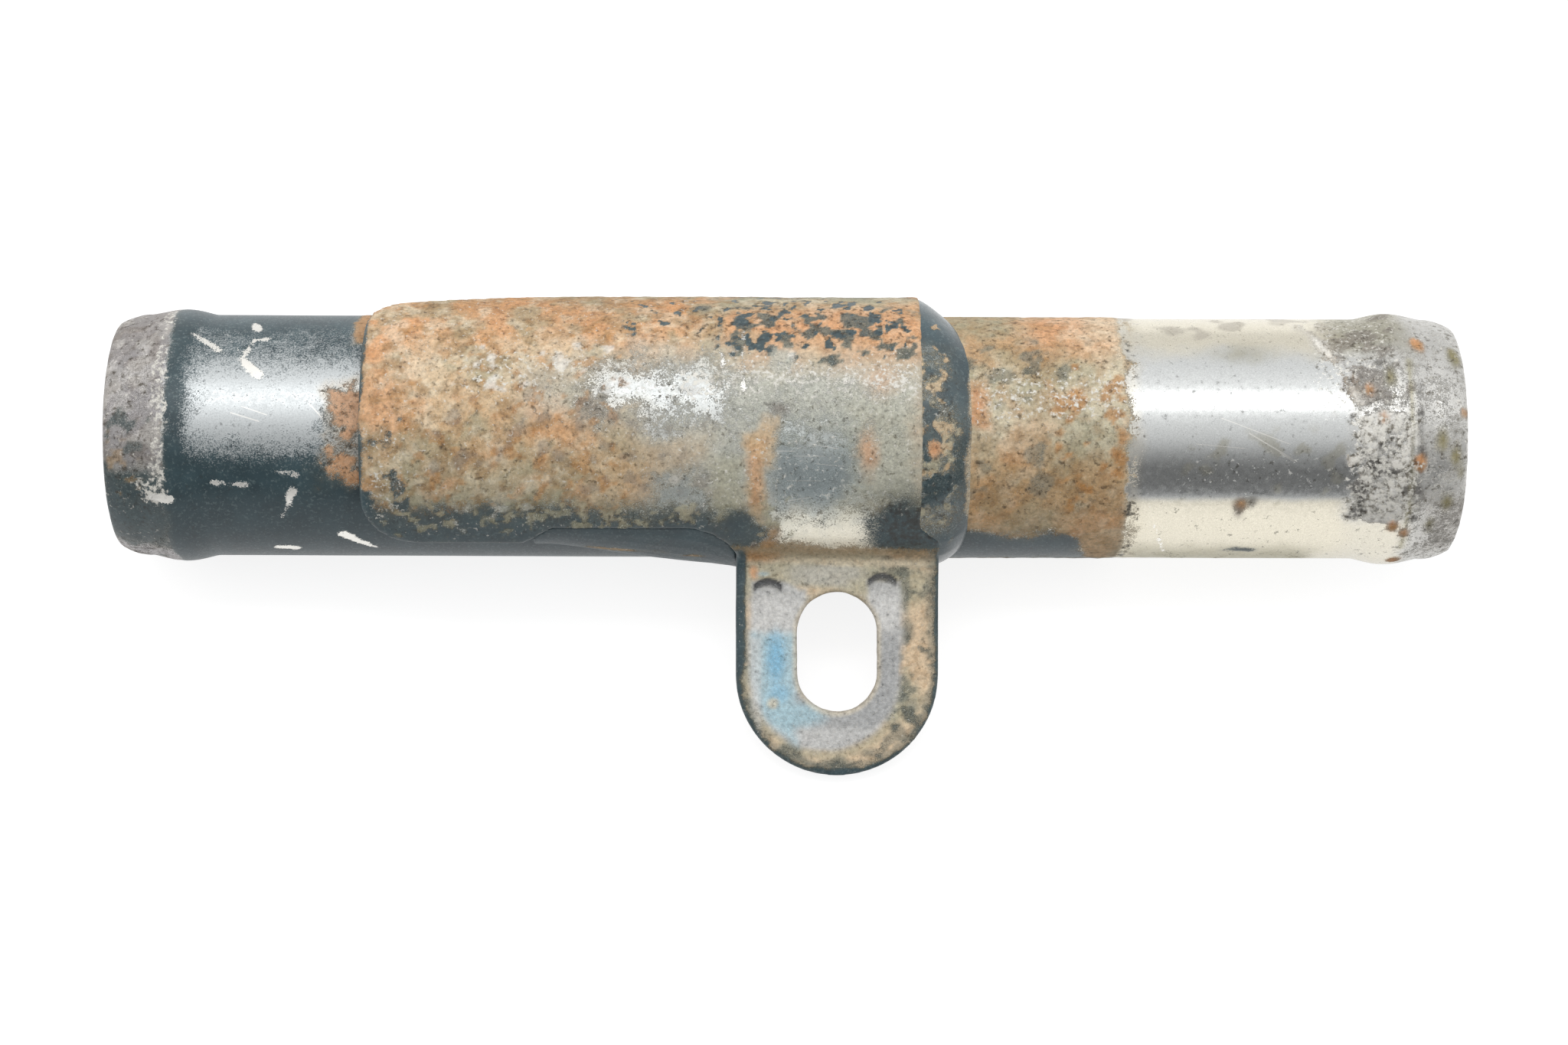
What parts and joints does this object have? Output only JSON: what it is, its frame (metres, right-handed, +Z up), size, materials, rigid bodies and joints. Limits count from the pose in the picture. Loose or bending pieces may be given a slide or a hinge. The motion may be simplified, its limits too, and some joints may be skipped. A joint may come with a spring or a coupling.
{
  "type": "corroded pipe",
  "caption": "Short corroded steel hose pipe: a beaded tube with a welded sheet-metal bracket whose slotted tab bolts it in place.",
  "frame": {"origin": "on the tube's axis at mid-length", "axes": "+X along the tube, from the end nearer the saddle to the end nearer the tab; +Z up as the part lies on its two beads and the tip of its tab, which points down towards -Y"},
  "size_m": [0.14, 0.0487, 0.028],
  "materials": {
    "tube": "zinc-plated steel, part painted dark teal, worn bare and crusted with tan corrosion",
    "bracket": "painted sheet steel, worn and crusted with salmon, tan and grey corrosion",
    "weld": "weld bead under glossy dark teal paint"
  },
  "bodies": {
    "root": {"tube": "tube", "bracket": "bracket", "end_weld": "weld", "lower_weld": "weld"}
  },
  "joints": []
}
